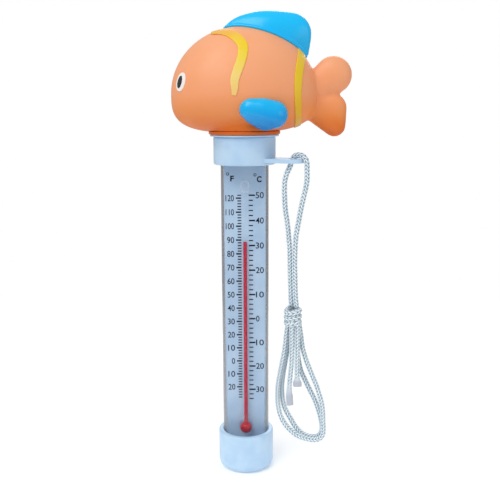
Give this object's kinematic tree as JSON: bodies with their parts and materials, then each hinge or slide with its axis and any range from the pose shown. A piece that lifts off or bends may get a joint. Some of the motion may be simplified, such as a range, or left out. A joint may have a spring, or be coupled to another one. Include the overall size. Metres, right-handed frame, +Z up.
{
  "type": "floating pool thermometer",
  "caption": "Fish-shaped vinyl float on a clear tube with a red spirit thermometer, a scale card, push-on end caps, steel ballast and a braided tether on a lug",
  "frame": {"origin": "middle of the lower cap's flat underside, on the tube's axis, where the object stands", "axes": "+Z up along the tube, the fish faces -X, the scale is read from -Y"},
  "size_m": [0.0889, 0.0552, 0.2341],
  "materials": {
    "white_plastic": "moulded, satin gloss",
    "black_rubber": "flat rubber ring",
    "steel": "turned slug",
    "grey_foam": "soft foam disc",
    "clear_plastic": "clear extruded tube",
    "card": "thin printed plastic card",
    "clear_glass": "drawn glass",
    "clear_adhesive": "set clear adhesive",
    "red_spirit": "dyed spirit",
    "orange_vinyl": "soft vinyl, satin",
    "blue_vinyl": "soft vinyl, glossy paint",
    "yellow_paint": "sprayed paint",
    "white_paint": "printed white",
    "black_paint": "printed black",
    "white_cord": "braided synthetic cord"
  },
  "bodies": {
    "housing": {"bottom_cap": "white_plastic", "lower_gasket": "black_rubber", "ballast_slug": "steel", "ballast_pad": "grey_foam", "tube": "clear_plastic", "scale_card": "card", "glass_stem": "clear_glass", "stem_tip": "clear_glass", "neck_bead": "clear_adhesive", "tip_bead": "clear_adhesive", "bulb_spirit": "red_spirit", "upper_gasket": "black_rubber", "upper_cap": "white_plastic", "cord_under_strand": "white_cord", "cord_over_strand": "white_cord", "cord_knot": "white_cord", "cord_outer_loop": "white_cord", "cord_inner_loop": "white_cord", "cord_long_tail": "white_cord", "cord_short_tail": "white_cord"},
    "float": {"float_foot": "orange_vinyl", "float_shell": "orange_vinyl", "dorsal_fin": "blue_vinyl", "left_side_fin": "blue_vinyl", "right_side_fin": "blue_vinyl", "left_front_stripe": "yellow_paint", "right_front_stripe": "yellow_paint", "rear_stripe": "yellow_paint", "left_eye_white": "white_paint", "right_eye_white": "white_paint", "left_eye_pupil": "black_paint", "right_eye_pupil": "black_paint"},
    "spirit": {"spirit_column": "red_spirit"}
  },
  "joints": [
    {"name": "float_turn", "type": "hinge", "parent": "housing", "child": "float", "pos_m": [0, 0, 0.186], "axis": [0, 0, 1], "continuous": true},
    {"name": "spirit_rise", "type": "slide", "parent": "housing", "child": "spirit", "axis": [0, 0, 1], "range_m": [-0.085, 0.0237], "deforming": ["spirit_column"]}
  ]
}
